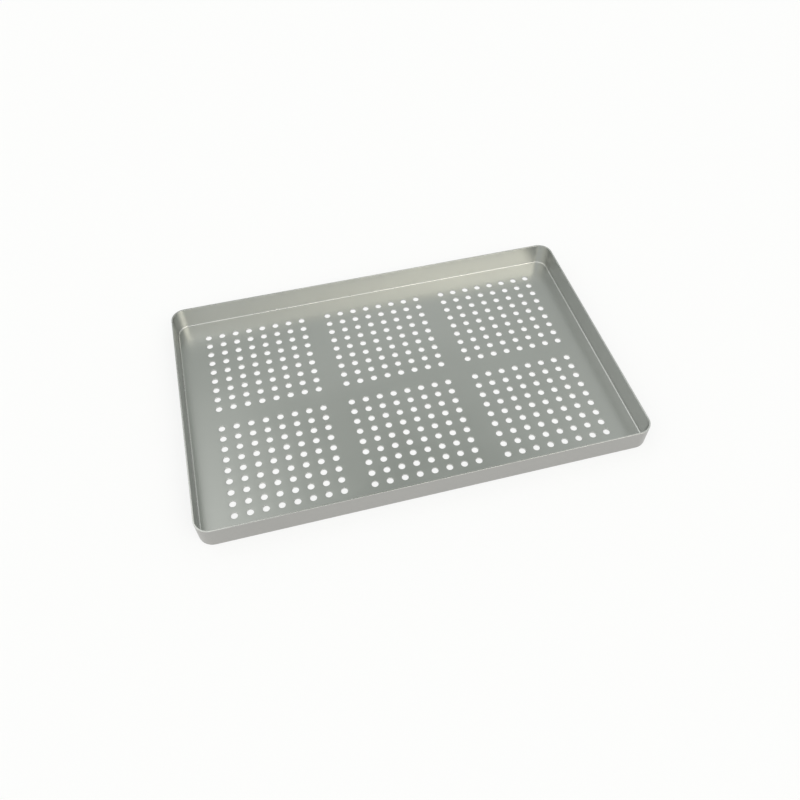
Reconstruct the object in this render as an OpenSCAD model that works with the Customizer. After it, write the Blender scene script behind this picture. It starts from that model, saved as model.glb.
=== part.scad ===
// Perforated instrument tray, pressed from one sheet of aluminium.
// Origin: middle of the underside. X along the length, Y along the width, Z up.

/* [Tray] */
// Length over the rim
tray_l = 284; // [150:1:450]
// Width over the rim
tray_w = 183; // [100:1:320]
// Height from the underside to the rim
tray_h = 17; // [10:0.5:60]
// Radius of the upright corners, at the outside of the rim
corner_r = 9.5; // [6:0.5:30]

/* [Sheet] */
// Thickness of the sheet
sheet_t = 1; // [0.6:0.1:2]
// Radius inside the bend between floor and wall
bend_r = 1; // [0.5:0.25:5]
// Angle by which the walls lean outwards, in degrees
wall_lean = 0.8; // [0:0.1:6]
// Radius of the deburred edges of the rim
rim_edge_r = 0.2; // [0.05:0.05:0.45]

/* [Perforation] */
// Diameter of a hole
hole_d = 4.3; // [2:0.1:6]
// Distance between hole centres along the length
pitch_x = 9.6; // [7:0.1:20]
// Distance between hole centres along the width
pitch_y = 8.3; // [7:0.1:20]
// Blocks of holes along the length
blocks_x = 3; // [1:1:6]
// Blocks of holes along the width
blocks_y = 2; // [1:1:4]
// Columns or rows of holes left out between two blocks
bar_pitches = 1; // [0:1:4]
// Least distance from a hole's centre to the bend at the short walls
margin_x = 18; // [5:0.5:40]
// Least distance from a hole's centre to the bend at the long walls
margin_y = 14; // [5:0.5:40]

/* [Finish] */
// Colour of the anodised sheet
sheet_colour = "#a5a8a4";

/* [Hidden] */
$fn = 96;

// Rounded edges of the rim, smaller where the two would meet on a thin sheet
rounded_share = 0.9;
rim_r = min(rim_edge_r, rounded_share * sheet_t / 2);

// Bend between floor and wall: both faces of the sheet turn about one centre
bend_out_r = bend_r + sheet_t;
wall_len = rim_r + (tray_h - bend_out_r - rim_r + (bend_r + rim_r) * sin(wall_lean)) / cos(wall_lean);
bend_x = corner_r - rim_r - (bend_out_r - rim_r) * cos(wall_lean) - (wall_len - rim_r) * sin(wall_lean);

// Centres of the upright corners, and the flat part of the floor
corner_x = tray_l / 2 - corner_r;
corner_y = tray_w / 2 - corner_r;
flat_l = 2 * (corner_x + bend_x);
flat_w = 2 * (corner_y + bend_x);

// Holes in each block: as many as fit between the margins and the bare bars
block_cols = floor(((flat_l - 2 * margin_x) / pitch_x + 1 - (blocks_x - 1) * bar_pitches) / blocks_x);
block_rows = floor(((flat_w - 2 * margin_y) / pitch_y + 1 - (blocks_y - 1) * bar_pitches) / blocks_y);

// How far the hole cutters pass through each face of the floor
cut_past = sheet_t;

// Place of hole i among count holes in a block, for block b of blocks, centred on zero
function hole_place(b, i, blocks, count, pitch) =
    (b * (count + bar_pitches) + i - (blocks * (count + bar_pitches) - bar_pitches - 1) / 2) * pitch;

// Quarter of a disc between the positive axes
module quarter_disc(r) {
    intersection() {
        circle(r = r);
        square(r);
    }
}

// Section of the wall above the bend: a strip of sheet with both rim edges rounded
module wall_strip() {
    straight = wall_len - rim_r;
    translate([bend_r, 0])
        square([sheet_t, straight]);
    translate([bend_r + rim_r, straight])
        square([sheet_t - 2 * rim_r, rim_r]);
    translate([bend_out_r - rim_r, straight])
        quarter_disc(rim_r);
    translate([bend_r + rim_r, straight])
        mirror([1, 0])
            quarter_disc(rim_r);
}

// Section of the bend: a ring cut off where the floor and the leaning wall begin
module bend_ring() {
    reach = 2 * bend_out_r;
    intersection() {
        difference() {
            circle(r = bend_out_r);
            circle(r = bend_r);
        }
        polygon([[0, 0], [0, -reach], [reach, -reach], [reach, -reach * tan(wall_lean)]]);
    }
}

// Section of the tray's edge, from the line of the corner centres to the rim
module edge_section() {
    square([bend_x, sheet_t]);
    translate([bend_x, bend_out_r]) {
        bend_ring();
        rotate(-wall_lean)
            wall_strip();
    }
}

// Straight stretch of the edge, of the given length, facing the positive X side
module straight_edge(length) {
    rotate([90, 0, 0])
        translate([0, 0, -length / 2])
            linear_extrude(height = length)
                edge_section();
}

// One drawn corner, turned about its upright axis
module drawn_corner() {
    rotate_extrude(angle = 90)
        edge_section();
}

// The pressed pan before it is perforated
module pan() {
    translate([-corner_x, -corner_y, 0])
        cube([2 * corner_x, 2 * corner_y, sheet_t]);
    for (side = [0, 1]) {
        mirror([side, 0, 0])
            translate([corner_x, 0, 0])
                straight_edge(2 * corner_y);
        mirror([0, side, 0])
            translate([0, corner_y, 0])
                rotate([0, 0, 90])
                    straight_edge(2 * corner_x);
        for (end = [0, 1])
            mirror([side, 0, 0])
                mirror([0, end, 0])
                    translate([corner_x, corner_y, 0])
                        drawn_corner();
    }
}

// Cutters for every hole of every block
module hole_cutters() {
    for (bx = [0 : blocks_x - 1], by = [0 : blocks_y - 1])
        for (col = [0 : block_cols - 1], row = [0 : block_rows - 1])
            translate([hole_place(bx, col, blocks_x, block_cols, pitch_x),
                       hole_place(by, row, blocks_y, block_rows, pitch_y),
                       -cut_past])
                cylinder(d = hole_d, h = sheet_t + 2 * cut_past);
}

// The finished tray
module tray() {
    color(sheet_colour)
        difference() {
            pan();
            hole_cutters();
        }
}

tray();
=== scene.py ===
import math

import bmesh
import bpy
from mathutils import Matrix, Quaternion, Vector


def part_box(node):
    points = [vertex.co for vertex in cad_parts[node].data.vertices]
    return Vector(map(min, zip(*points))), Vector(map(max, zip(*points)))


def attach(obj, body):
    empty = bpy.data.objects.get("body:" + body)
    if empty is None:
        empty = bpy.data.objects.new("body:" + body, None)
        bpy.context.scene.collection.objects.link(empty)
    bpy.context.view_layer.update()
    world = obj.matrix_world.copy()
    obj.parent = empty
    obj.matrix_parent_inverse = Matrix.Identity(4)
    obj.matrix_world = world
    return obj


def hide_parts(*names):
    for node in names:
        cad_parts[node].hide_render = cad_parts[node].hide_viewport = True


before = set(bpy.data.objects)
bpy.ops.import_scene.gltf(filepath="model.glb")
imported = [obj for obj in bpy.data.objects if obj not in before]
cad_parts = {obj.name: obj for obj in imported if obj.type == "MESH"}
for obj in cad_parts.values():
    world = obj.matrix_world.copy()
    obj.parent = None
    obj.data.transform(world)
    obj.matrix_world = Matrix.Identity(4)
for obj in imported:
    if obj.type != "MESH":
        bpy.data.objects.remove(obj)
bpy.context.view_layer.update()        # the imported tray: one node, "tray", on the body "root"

MM = 0.001
NODE = "tray"
BODY = "root"

# The tray's outside, from the frame
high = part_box(NODE)[1]
HALF_LENGTH = high.x
HALF_WIDTH = high.y
HEIGHT = high.z

# The pressed sheet, as in the part's source
SHEET = 1.0 * MM
BEND_R = 1.0 * MM
CORNER_R = 9.5 * MM
WALL_LEAN = math.radians(0.8)
RIM_EDGE_R = 0.2 * MM

# The perforation: blocks of holes on one lattice, with a column and a row left bare between blocks
HOLE_R = 2.15 * MM
PITCH_X = 9.6 * MM
PITCH_Y = 8.3 * MM
BLOCK_COLUMNS = 8
HALF_BLOCK_COLUMNS = BLOCK_COLUMNS // 2
BLOCK_ROWS = 9
MOUTH_ROUND = 0.22 * MM
BACK_ROUND = 0.1 * MM

# How finely the round shapes are stepped
CELL_SIDE_STEPS = 5
BEND_STEPS = 6
CORNER_STEPS = 12
RIM_STEPS = 3
MOUTH_STEPS = 2
BACK_STEPS = 1

# Points closer than the first are joined, and places closer than the second count as the same
WELD = 0.002 * MM
NEAR = 0.01 * MM

# An edge sharper than the first angle is rounded, and faces within the second are shaded as one
SQUARE_EDGE = math.radians(60)
SMOOTH_WITHIN = math.radians(50)

# How nearly upright the normal of a floor face is
FLOOR_UPRIGHT = 0.99


def section_of_inner_face():
    """Points (outwards, up) of the sheet's inner face, from the line of the corner centres to the rim."""
    bend_out = BEND_R + SHEET
    lean_cos, lean_sin = math.cos(WALL_LEAN), math.sin(WALL_LEAN)
    straight = HEIGHT - bend_out - RIM_EDGE_R + (BEND_R + RIM_EDGE_R) * lean_sin
    wall = RIM_EDGE_R + straight / lean_cos
    bend_at = CORNER_R - RIM_EDGE_R - (bend_out - RIM_EDGE_R) * lean_cos - (wall - RIM_EDGE_R) * lean_sin
    points = [(0.0, SHEET), (bend_at, SHEET)]
    for step in range(1, BEND_STEPS + 1):
        turn = -math.pi / 2 + (math.pi / 2 - WALL_LEAN) * step / BEND_STEPS
        points.append((bend_at + BEND_R * math.cos(turn), bend_out + BEND_R * math.sin(turn)))
    rim_out = bend_at + BEND_R * lean_cos + wall * lean_sin
    rim_up = bend_out - BEND_R * lean_sin + wall * lean_cos
    points.append((rim_out, rim_up))
    return points


def pick(piece, kind, wanted):
    """In edit mode, select only the edges or faces that the test wants."""
    bpy.ops.mesh.select_mode(type=kind)
    bpy.ops.mesh.select_all(action="DESELECT")
    mesh = bmesh.from_edit_mesh(piece.data)
    for part in mesh.edges if kind == "EDGE" else mesh.faces:
        if wanted(part):
            part.select_set(True)
    bmesh.update_edit_mesh(piece.data)


def along(axis, value, other_below=None):
    """A test for edges where X (axis 0) or Y (axis 1) has this value, up to a limit on the other."""
    def wanted(edge):
        places = [corner.co for corner in edge.verts]
        on_line = all(abs(place[axis] - value) < NEAR for place in places)
        return on_line and (other_below is None or all(p[1 - axis] < other_below + NEAR for p in places))
    return wanted


def extrude(move):
    """Extrude the selected edges by one move, and leave the new ones selected."""
    bpy.ops.mesh.extrude_edges_move(TRANSFORM_OT_translate={"value": move})


def weld():
    """Join the points that meet."""
    bpy.ops.mesh.select_all(action="SELECT")
    bpy.ops.mesh.remove_doubles(threshold=WELD)


def apply_modifier(piece, kind, **settings):
    """Add one modifier with these settings and apply it."""
    modifier = piece.modifiers.new(kind.lower(), kind)
    for name, value in settings.items():
        setattr(modifier, name, value)
    bpy.ops.object.modifier_apply(modifier=modifier.name)


def punched_cell():
    """One cell of the lattice: a square outline bridged to its round hole."""
    bpy.ops.object.select_all(action="DESELECT")
    centre = (PITCH_X / 2, PITCH_Y, SHEET)
    bpy.ops.mesh.primitive_plane_add(size=1, location=(0, 0, 0))
    cell = bpy.context.object
    cell.name = "tray_sheet"
    bpy.ops.object.mode_set(mode="EDIT")
    bpy.ops.transform.resize(value=(PITCH_X, PITCH_Y, 1), center_override=(0, 0, 0))
    bpy.ops.transform.translate(value=centre)
    bpy.ops.mesh.delete(type="ONLY_FACE")
    bpy.ops.mesh.select_all(action="SELECT")
    bpy.ops.mesh.subdivide(number_cuts=CELL_SIDE_STEPS - 1)
    bpy.ops.mesh.select_all(action="DESELECT")
    steps = 4 * CELL_SIDE_STEPS
    bpy.ops.mesh.primitive_circle_add(vertices=steps, radius=HOLE_R, location=centre)
    bpy.ops.transform.rotate(value=math.pi / steps, orient_axis="Z", center_override=centre)
    bpy.ops.mesh.select_all(action="SELECT")
    bpy.ops.mesh.select_mode(type="EDGE")
    bpy.ops.mesh.bridge_edge_loops()
    bpy.ops.object.mode_set(mode="OBJECT")
    return cell


def perforated_quarter(piece):
    """Copy the cell over the quarter of positive X and Y, close the bars, and return the field's reach."""
    columns = HALF_BLOCK_COLUMNS + 1 + BLOCK_COLUMNS
    bar_from, bar_to = HALF_BLOCK_COLUMNS * PITCH_X, (HALF_BLOCK_COLUMNS + 1) * PITCH_X
    for count, step in ((columns, (PITCH_X, 0, 0)), (BLOCK_ROWS, (0, PITCH_Y, 0))):
        apply_modifier(piece, "ARRAY", count=count, use_relative_offset=False, use_constant_offset=True,
                       constant_offset_displace=step)
    bpy.ops.object.mode_set(mode="EDIT")
    weld()
    pick(piece, "FACE", lambda face: bar_from < face.calc_center_median().x < bar_to)
    bpy.ops.mesh.delete(type="FACE")
    pick(piece, "EDGE", along(0, bar_from))
    extrude((PITCH_X, 0, 0))
    weld()
    pick(piece, "EDGE", along(1, PITCH_Y / 2))
    extrude((0, -PITCH_Y / 2, 0))
    bpy.ops.object.mode_set(mode="OBJECT")
    return columns * PITCH_X, (BLOCK_ROWS + 0.5) * PITCH_Y


def draw_up_edges(piece, field_x, field_y):
    """Take the floor out to the corner centres, then pull its edges through the bend to the rim."""
    corner_x, corner_y = HALF_LENGTH - CORNER_R, HALF_WIDTH - CORNER_R
    section = section_of_inner_face()
    steps = [(b[0] - a[0], b[1] - a[1]) for a, b in zip(section, section[1:])]

    def beside_corner(edge):
        return along(1, corner_y)(edge) and all(point.co.x > corner_x - NEAR for point in edge.verts)

    bpy.ops.object.mode_set(mode="EDIT")
    pick(piece, "EDGE", along(0, field_x))
    extrude((corner_x - field_x, 0, 0))
    pick(piece, "EDGE", along(1, field_y))
    extrude((0, corner_y - field_y, 0))
    pick(piece, "EDGE", along(0, corner_x))
    for out, up in steps:
        extrude((out, 0, up))
    pick(piece, "EDGE", along(1, corner_y, other_below=corner_x))
    for out, up in steps:
        extrude((0, out, up))
    pick(piece, "EDGE", beside_corner)
    bpy.ops.mesh.spin(steps=CORNER_STEPS, angle=-math.pi / 2, center=(corner_x, corner_y, 0), axis=(0, 0, 1))
    weld()
    bpy.ops.mesh.normals_make_consistent(inside=False)
    bpy.ops.object.mode_set(mode="OBJECT")


def face_up(piece):
    """Turn the open skin over if its floor faces down."""
    floor = next(face for face in piece.data.polygons if abs(face.normal.z) > FLOOR_UPRIGHT)
    if floor.normal.z < 0:
        bpy.ops.object.mode_set(mode="EDIT")
        bpy.ops.mesh.select_all(action="SELECT")
        bpy.ops.mesh.flip_normals()
        bpy.ops.object.mode_set(mode="OBJECT")


def sharp_between(bottom, top):
    """A test for the square edges whose points lie between two heights."""
    def wanted(edge):
        between = all(bottom < point.co.z < top for point in edge.verts)
        return between and len(edge.link_faces) == 2 and edge.calc_face_angle() > SQUARE_EDGE
    return wanted


def round_edges(piece):
    """Round the rim's two edges, the mouths of the holes and, less, their lower edges."""
    bpy.ops.object.mode_set(mode="EDIT")
    for bottom, top, radius, steps in (
        (HEIGHT / 2, 2 * HEIGHT, RIM_EDGE_R, RIM_STEPS),
        (SHEET / 2, 2 * SHEET, MOUTH_ROUND, MOUTH_STEPS),
        (-SHEET, SHEET / 2, BACK_ROUND, BACK_STEPS),
    ):
        pick(piece, "EDGE", sharp_between(bottom, top))
        bpy.ops.mesh.bevel(offset=radius, offset_type="OFFSET", segments=steps, profile=0.5,
                           affect="EDGES")
    bpy.ops.mesh.select_mode(type="VERT")
    bpy.ops.object.mode_set(mode="OBJECT")


def pressed_tray():
    """The whole sheet: one quarter made by hand, mirrored, given its thickness and its rounded edges."""
    piece = punched_cell()
    field_x, field_y = perforated_quarter(piece)
    draw_up_edges(piece, field_x, field_y)
    face_up(piece)
    apply_modifier(piece, "MIRROR", use_axis=(True, True, False), merge_threshold=WELD)
    apply_modifier(piece, "SOLIDIFY", thickness=SHEET, offset=-1, use_even_offset=True)
    round_edges(piece)
    bpy.ops.object.shade_smooth_by_angle(angle=SMOOTH_WITHIN)
    apply_modifier(piece, "WEIGHTED_NORMAL", mode="FACE_AREA", weight=100, keep_sharp=True)
    return piece


# Camera: the photograph's viewpoint in the tray's frame, solved from the places of the holes and the rim
CAMERA_AT = Vector((-79.57, -319.14, 397.86)) * MM
CAMERA_AZIMUTH = math.radians(-14.29)
CAMERA_ELEVATION = math.radians(51.68)
CAMERA_ROLL = math.radians(-0.53)
CAMERA_LENS = 34.09
CAMERA_NEAREST = 10 * MM


def make_camera():
    """A still camera at the photograph's viewpoint."""
    data = bpy.data.cameras.new("camera")
    data.lens = CAMERA_LENS
    data.clip_start = CAMERA_NEAREST
    camera = bpy.data.objects.new("camera", data)
    bpy.context.scene.collection.objects.link(camera)
    level = math.cos(CAMERA_ELEVATION)
    back_x, back_y = math.sin(CAMERA_AZIMUTH) * level, -math.cos(CAMERA_AZIMUTH) * level
    back = Vector((back_x, back_y, math.sin(CAMERA_ELEVATION)))
    camera.location = CAMERA_AT
    camera.rotation_mode = "QUATERNION"
    camera.rotation_quaternion = Quaternion(back, CAMERA_ROLL) @ (-back).to_track_quat("-Z", "Y")
    bpy.context.scene.camera = camera


class Wire:
    """An output socket of a node tree, which takes part in arithmetic."""

    def __init__(self, tree, socket=None):
        self.tree = tree
        self.socket = socket

    def node(self, kind, settings, inputs, output=0):
        """Add a node: its settings first, then the values or links of its sockets."""
        made = self.tree.nodes.new(kind)
        for name, value in settings.items():
            setattr(made, name, value)
        for name, value in inputs.items():
            if isinstance(value, Wire):
                self.tree.links.new(value.socket, made.inputs[name])
            else:
                made.inputs[name].default_value = value
        return Wire(self.tree, made.outputs[output])

    def math(self, operation, first, second):
        return self.node("ShaderNodeMath", {"operation": operation}, {0: first, 1: second})

    def __add__(self, other):
        return self.math("ADD", self, other)

    def __radd__(self, other):
        return self.math("ADD", other, self)

    def __sub__(self, other):
        return self.math("SUBTRACT", self, other)

    def __rsub__(self, other):
        return self.math("SUBTRACT", other, self)

    def __mul__(self, other):
        return self.math("MULTIPLY", self, other)

    def __rmul__(self, other):
        return self.math("MULTIPLY", other, self)

    def clear_step(self, start, end):
        """0 before start, 1 after end, and smooth between them."""
        return self.node("ShaderNodeMapRange", {"interpolation_type": "SMOOTHSTEP"},
                         {"Value": self, "From Min": start, "From Max": end})

    def blend(self, first, second):
        """A colour between two, with this value as the factor."""
        return self.node("ShaderNodeMix", {"data_type": "RGBA"}, {0: self, 6: first, 7: second}, output=2)

    def vector(self, operation, *others):
        """This place or direction after a Vector Math operation."""
        return self.node("ShaderNodeVectorMath", {"operation": operation}, dict(enumerate((self, *others))))

    def length(self):
        return self.node("ShaderNodeVectorMath", {"operation": "LENGTH"}, {0: self}, output="Value")

    def dot(self, other):
        return self.node("ShaderNodeVectorMath", {"operation": "DOT_PRODUCT"}, {0: self, 1: other},
                         output="Value")

    def tint(self, colour):
        """This value times a colour."""
        return self.node("ShaderNodeVectorMath", {"operation": "SCALE"}, {0: colour, "Scale": self})

    def stretched(self, scale):
        """This place, with each axis counted by its own scale."""
        return self.node("ShaderNodeMapping", {}, {"Vector": self, "Scale": scale})

    def noise(self, scale, detail=2.0):
        """Cloudy noise from 0 to 1 over this place."""
        return self.node("ShaderNodeTexNoise", {}, {"Vector": self, "Scale": scale, "Detail": detail})


def new_material(name):
    """A material with its tree, its shader and a first wire."""
    material = bpy.data.materials.new(name)
    material.use_nodes = True
    tree = material.node_tree
    return material, tree.nodes["Principled BSDF"], Wire(tree)


# Greys and roughness of the metal
SHEET_GREY = (0.54, 0.547, 0.535, 1)
DEEP_GREY = (0.515, 0.522, 0.51, 1)
# Painted shade: the outer face of the walls gets a darker grey than the same sheet inside
OUTER_PAINTED_SHADE_GREY = (0.415, 0.412, 0.395, 1)
# Painted highlight: a brighter grey on the inner bend and the cut rim, which are also burnished to a lower
# roughness
PAINTED_HIGHLIGHT_GREY = (0.61, 0.61, 0.6, 1)
SHEET_ROUGHNESS = 0.34
BURNISHED_ROUGHNESS = 0.26

# Noises over the sheet, in clouds per metre, and how hard their contrast is
CLOUD_SCALE = 22
CLOUD_CONTRAST = (0.3, 0.7)
BURNISH_AND_HIGHLIGHT_SCALE = 160
BURNISH_AND_HIGHLIGHT_CONTRAST = (0.35, 0.65)
ETCH_SCALE = 1900
ROLLING_STRETCH = (12, 420, 420)

# What the noises do to the colour, the burnished lines with their painted highlight, the roughness and the
# relief
CLOUD_SHARE = 0.6
LEAST_BURNISH_AND_HIGHLIGHT = 0.7
ROUGHNESS_NOISE = 0.03
ETCH_SHARE = 0.7
RELIEF_STRENGTH = 0.12
RELIEF_DEPTH = 0.02 * MM

# How high above the floor the burnished line of the bend, with its painted highlight, fades in
BEND_FADE = 0.12 * MM


def anodised_aluminium():
    """Satin anodised sheet: etched, with a faint rolling grain.

    It has a painted highlight, a brighter grey, at the inner bend and the cut rim, which are also burnished
    to a lower roughness, and painted shade, a darker grey, on the outer face of the walls.
    """
    material, shader, wire = new_material("satin_anodised_aluminium")
    place = wire.node("ShaderNodeTexCoord", {}, {}, output="Object")
    height = wire.node("ShaderNodeSeparateXYZ", {}, {0: place}, output="Z")
    corner_centre = (HALF_LENGTH - CORNER_R, HALF_WIDTH - CORNER_R, HEIGHT)
    past_centre = place.vector("ABSOLUTE").vector("SUBTRACT", corner_centre).vector("MAXIMUM", (0, 0, 0))
    inward = CORNER_R - past_centre.length()
    bath_clouds = place.noise(CLOUD_SCALE, detail=3).clear_step(*CLOUD_CONTRAST)
    rolling = place.stretched(ROLLING_STRETCH).noise(1, detail=4)
    etch = place.noise(ETCH_SCALE, detail=3)
    above_floor = height.clear_step(SHEET, SHEET + BEND_FADE)
    below_wall = height.clear_step(SHEET + 1.5 * BEND_R, SHEET + 0.9 * BEND_R)
    # Painted highlight and burnish: the inner bend and the cut rim get a brighter grey and a lower roughness
    inner_bend = above_floor * below_wall * inward.clear_step(0.7 * SHEET, 0.9 * SHEET)
    cut_rim = height.clear_step(HEIGHT - 1.5 * RIM_EDGE_R, HEIGHT - 0.5 * RIM_EDGE_R)
    uneven = place.noise(BURNISH_AND_HIGHLIGHT_SCALE).clear_step(*BURNISH_AND_HIGHLIGHT_CONTRAST)
    burnish_and_highlight = (inner_bend + cut_rim) * (LEAST_BURNISH_AND_HIGHLIGHT + uneven * (1 - LEAST_BURNISH_AND_HIGHLIGHT))
    # Painted shade: the outer face of the walls is coloured with the darker outer grey
    painted_shade_outer_face = inward.clear_step(0.5 * SHEET, 0.2 * SHEET) * height.clear_step(0, 0.3 * SHEET)
    shade = bath_clouds * CLOUD_SHARE + rolling * (1 - CLOUD_SHARE)
    sheet = painted_shade_outer_face.blend(shade.blend(DEEP_GREY, SHEET_GREY), OUTER_PAINTED_SHADE_GREY)
    base = burnish_and_highlight.blend(sheet, PAINTED_HIGHLIGHT_GREY)
    satin = SHEET_ROUGHNESS - ROUGHNESS_NOISE + bath_clouds * ROUGHNESS_NOISE + etch * ROUGHNESS_NOISE
    roughness = satin + burnish_and_highlight * (BURNISHED_ROUGHNESS - SHEET_ROUGHNESS)
    relief = rolling * (1 - ETCH_SHARE) + etch * ETCH_SHARE
    bump = wire.node("ShaderNodeBump", {},
                     {"Strength": RELIEF_STRENGTH, "Distance": RELIEF_DEPTH, "Height": relief})
    wire.tree.links.new(base.socket, shader.inputs["Base Color"])
    wire.tree.links.new(roughness.socket, shader.inputs["Roughness"])
    wire.tree.links.new(bump.socket, shader.inputs["Normal"])
    shader.inputs["Metallic"].default_value = 1
    return material


WHITE = (1, 1, 1, 1)
TABLE_SIZE = 30
TABLE_WHITE = (0.94, 0.94, 0.96, 1)
TABLE_ROUGHNESS = 0.9
TABLE_GLOW = 0.75
GLOW_RAYS = ("Camera", "Glossy", "Transmission")


def make_floor():
    """A plain white table that partly glows, for the camera and in the metal, so that it stays white."""
    bpy.ops.object.select_all(action="DESELECT")
    bpy.ops.mesh.primitive_plane_add(size=TABLE_SIZE, location=(0, 0, 0))
    table = bpy.context.object
    table.name = "table"
    material, shader, wire = new_material("white_table")
    shader.inputs["Base Color"].default_value = TABLE_WHITE
    shader.inputs["Roughness"].default_value = TABLE_ROUGHNESS
    shader.inputs["Specular IOR Level"].default_value = 0
    rays = wire.node("ShaderNodeLightPath", {}, {}).socket.node
    seen = [Wire(wire.tree, rays.outputs[f"Is {kind} Ray"]) for kind in GLOW_RAYS]
    glow = wire.node("ShaderNodeEmission", {}, {"Color": WHITE, "Strength": 1})
    plain = Wire(wire.tree, shader.outputs[0])
    glow_share = (seen[0] + seen[1] + seen[2]) * TABLE_GLOW
    shown = wire.node("ShaderNodeMixShader", {}, {0: glow_share, 1: plain, 2: glow})
    wire.tree.links.new(shown.socket, wire.tree.nodes["Material Output"].inputs["Surface"])
    table.data.materials.append(material)


# The studio's soft surroundings: white near the horizon, light grey above it, and large soft lights.
# A light has its bearing (from +Y towards +X), height and radius in degrees, its level and its colour.
# A level below zero is a gap between lights, which the floor mirrors as a darker place.
# The lights were placed one by one. Seven of their levels are the rounded result of a fit to the
# photograph's tones, and the other seven were set one by one. The camera sees the surroundings as plain
# white.
HORIZON_LEVEL = (0.93, 0.93, 0.93)
UPPER_LEVEL = (0.575, 0.605, 0.57)
HORIZON_FADE = (6, 16)
NEUTRAL = (1, 1, 1)
WARM = (1.05, 1, 0.88)
SOFT_LIGHTS = {
    "gap_behind": (18, 61, 19, -0.88, NEUTRAL),
    "high_left": (-18, 62, 24, 0.5, NEUTRAL),
    "high_near_left": (-14, 62, 10, 0.2, WARM),
    "high_right": (42, 56, 22, 0.5, NEUTRAL),
    "gap_left": (-8, 51, 13, -0.2, NEUTRAL),
    "low_gap_left": (-12, 36, 16, -0.5, NEUTRAL),
    "low_behind": (12, 40, 16, 0.45, NEUTRAL),
    "low_gap_right": (34, 36, 16, -0.25, NEUTRAL),
    "far_left": (-46, 56, 26, 0.5, NEUTRAL),
    "front_right": (160, 43, 20, 2.45, WARM),
    "far_front_right": (138, 43, 22, 1.7, WARM),
    "front_left": (-155, 45, 26, 1.0, NEUTRAL),
    "side_left": (-110, 42, 30, 0.8, WARM),
    "side_right": (95, 42, 30, 0.1, NEUTRAL),
}


def make_world():
    """A plain studio whose light comes softly from all round."""
    world = bpy.data.worlds.new("studio")
    bpy.context.scene.world = world
    world.use_nodes = True
    wire = Wire(world.node_tree)
    direction = wire.node("ShaderNodeTexCoord", {}, {}, output="Generated")
    fade = [math.sin(math.radians(angle)) for angle in HORIZON_FADE]
    above = wire.node("ShaderNodeSeparateXYZ", {}, {0: direction}, output="Z").clear_step(*fade)
    light = above.blend((*HORIZON_LEVEL, 1), (*UPPER_LEVEL, 1))
    for bearing, rise, radius, level, colour in SOFT_LIGHTS.values():
        turn, lift = math.radians(bearing), math.radians(rise)
        middle = (math.sin(turn) * math.cos(lift), math.cos(turn) * math.cos(lift), math.sin(lift))
        shape = direction.dot(middle).clear_step(math.cos(math.radians(radius)), 1)
        light = light.vector("ADD", (shape * level).tint(colour))
    light = light.vector("MAXIMUM", (0, 0, 0))
    seen_by_camera = wire.node("ShaderNodeLightPath", {}, {}, output="Is Camera Ray")
    light = seen_by_camera.blend(light, WHITE)
    wire.tree.links.new(light.socket, world.node_tree.nodes["Background"].inputs["Color"])


make_camera()
tray = pressed_tray()
tray.data.materials.append(anodised_aluminium())
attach(tray, BODY)
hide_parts(NODE)
make_floor()
make_world()
bpy.context.scene.view_settings.view_transform = "Standard"
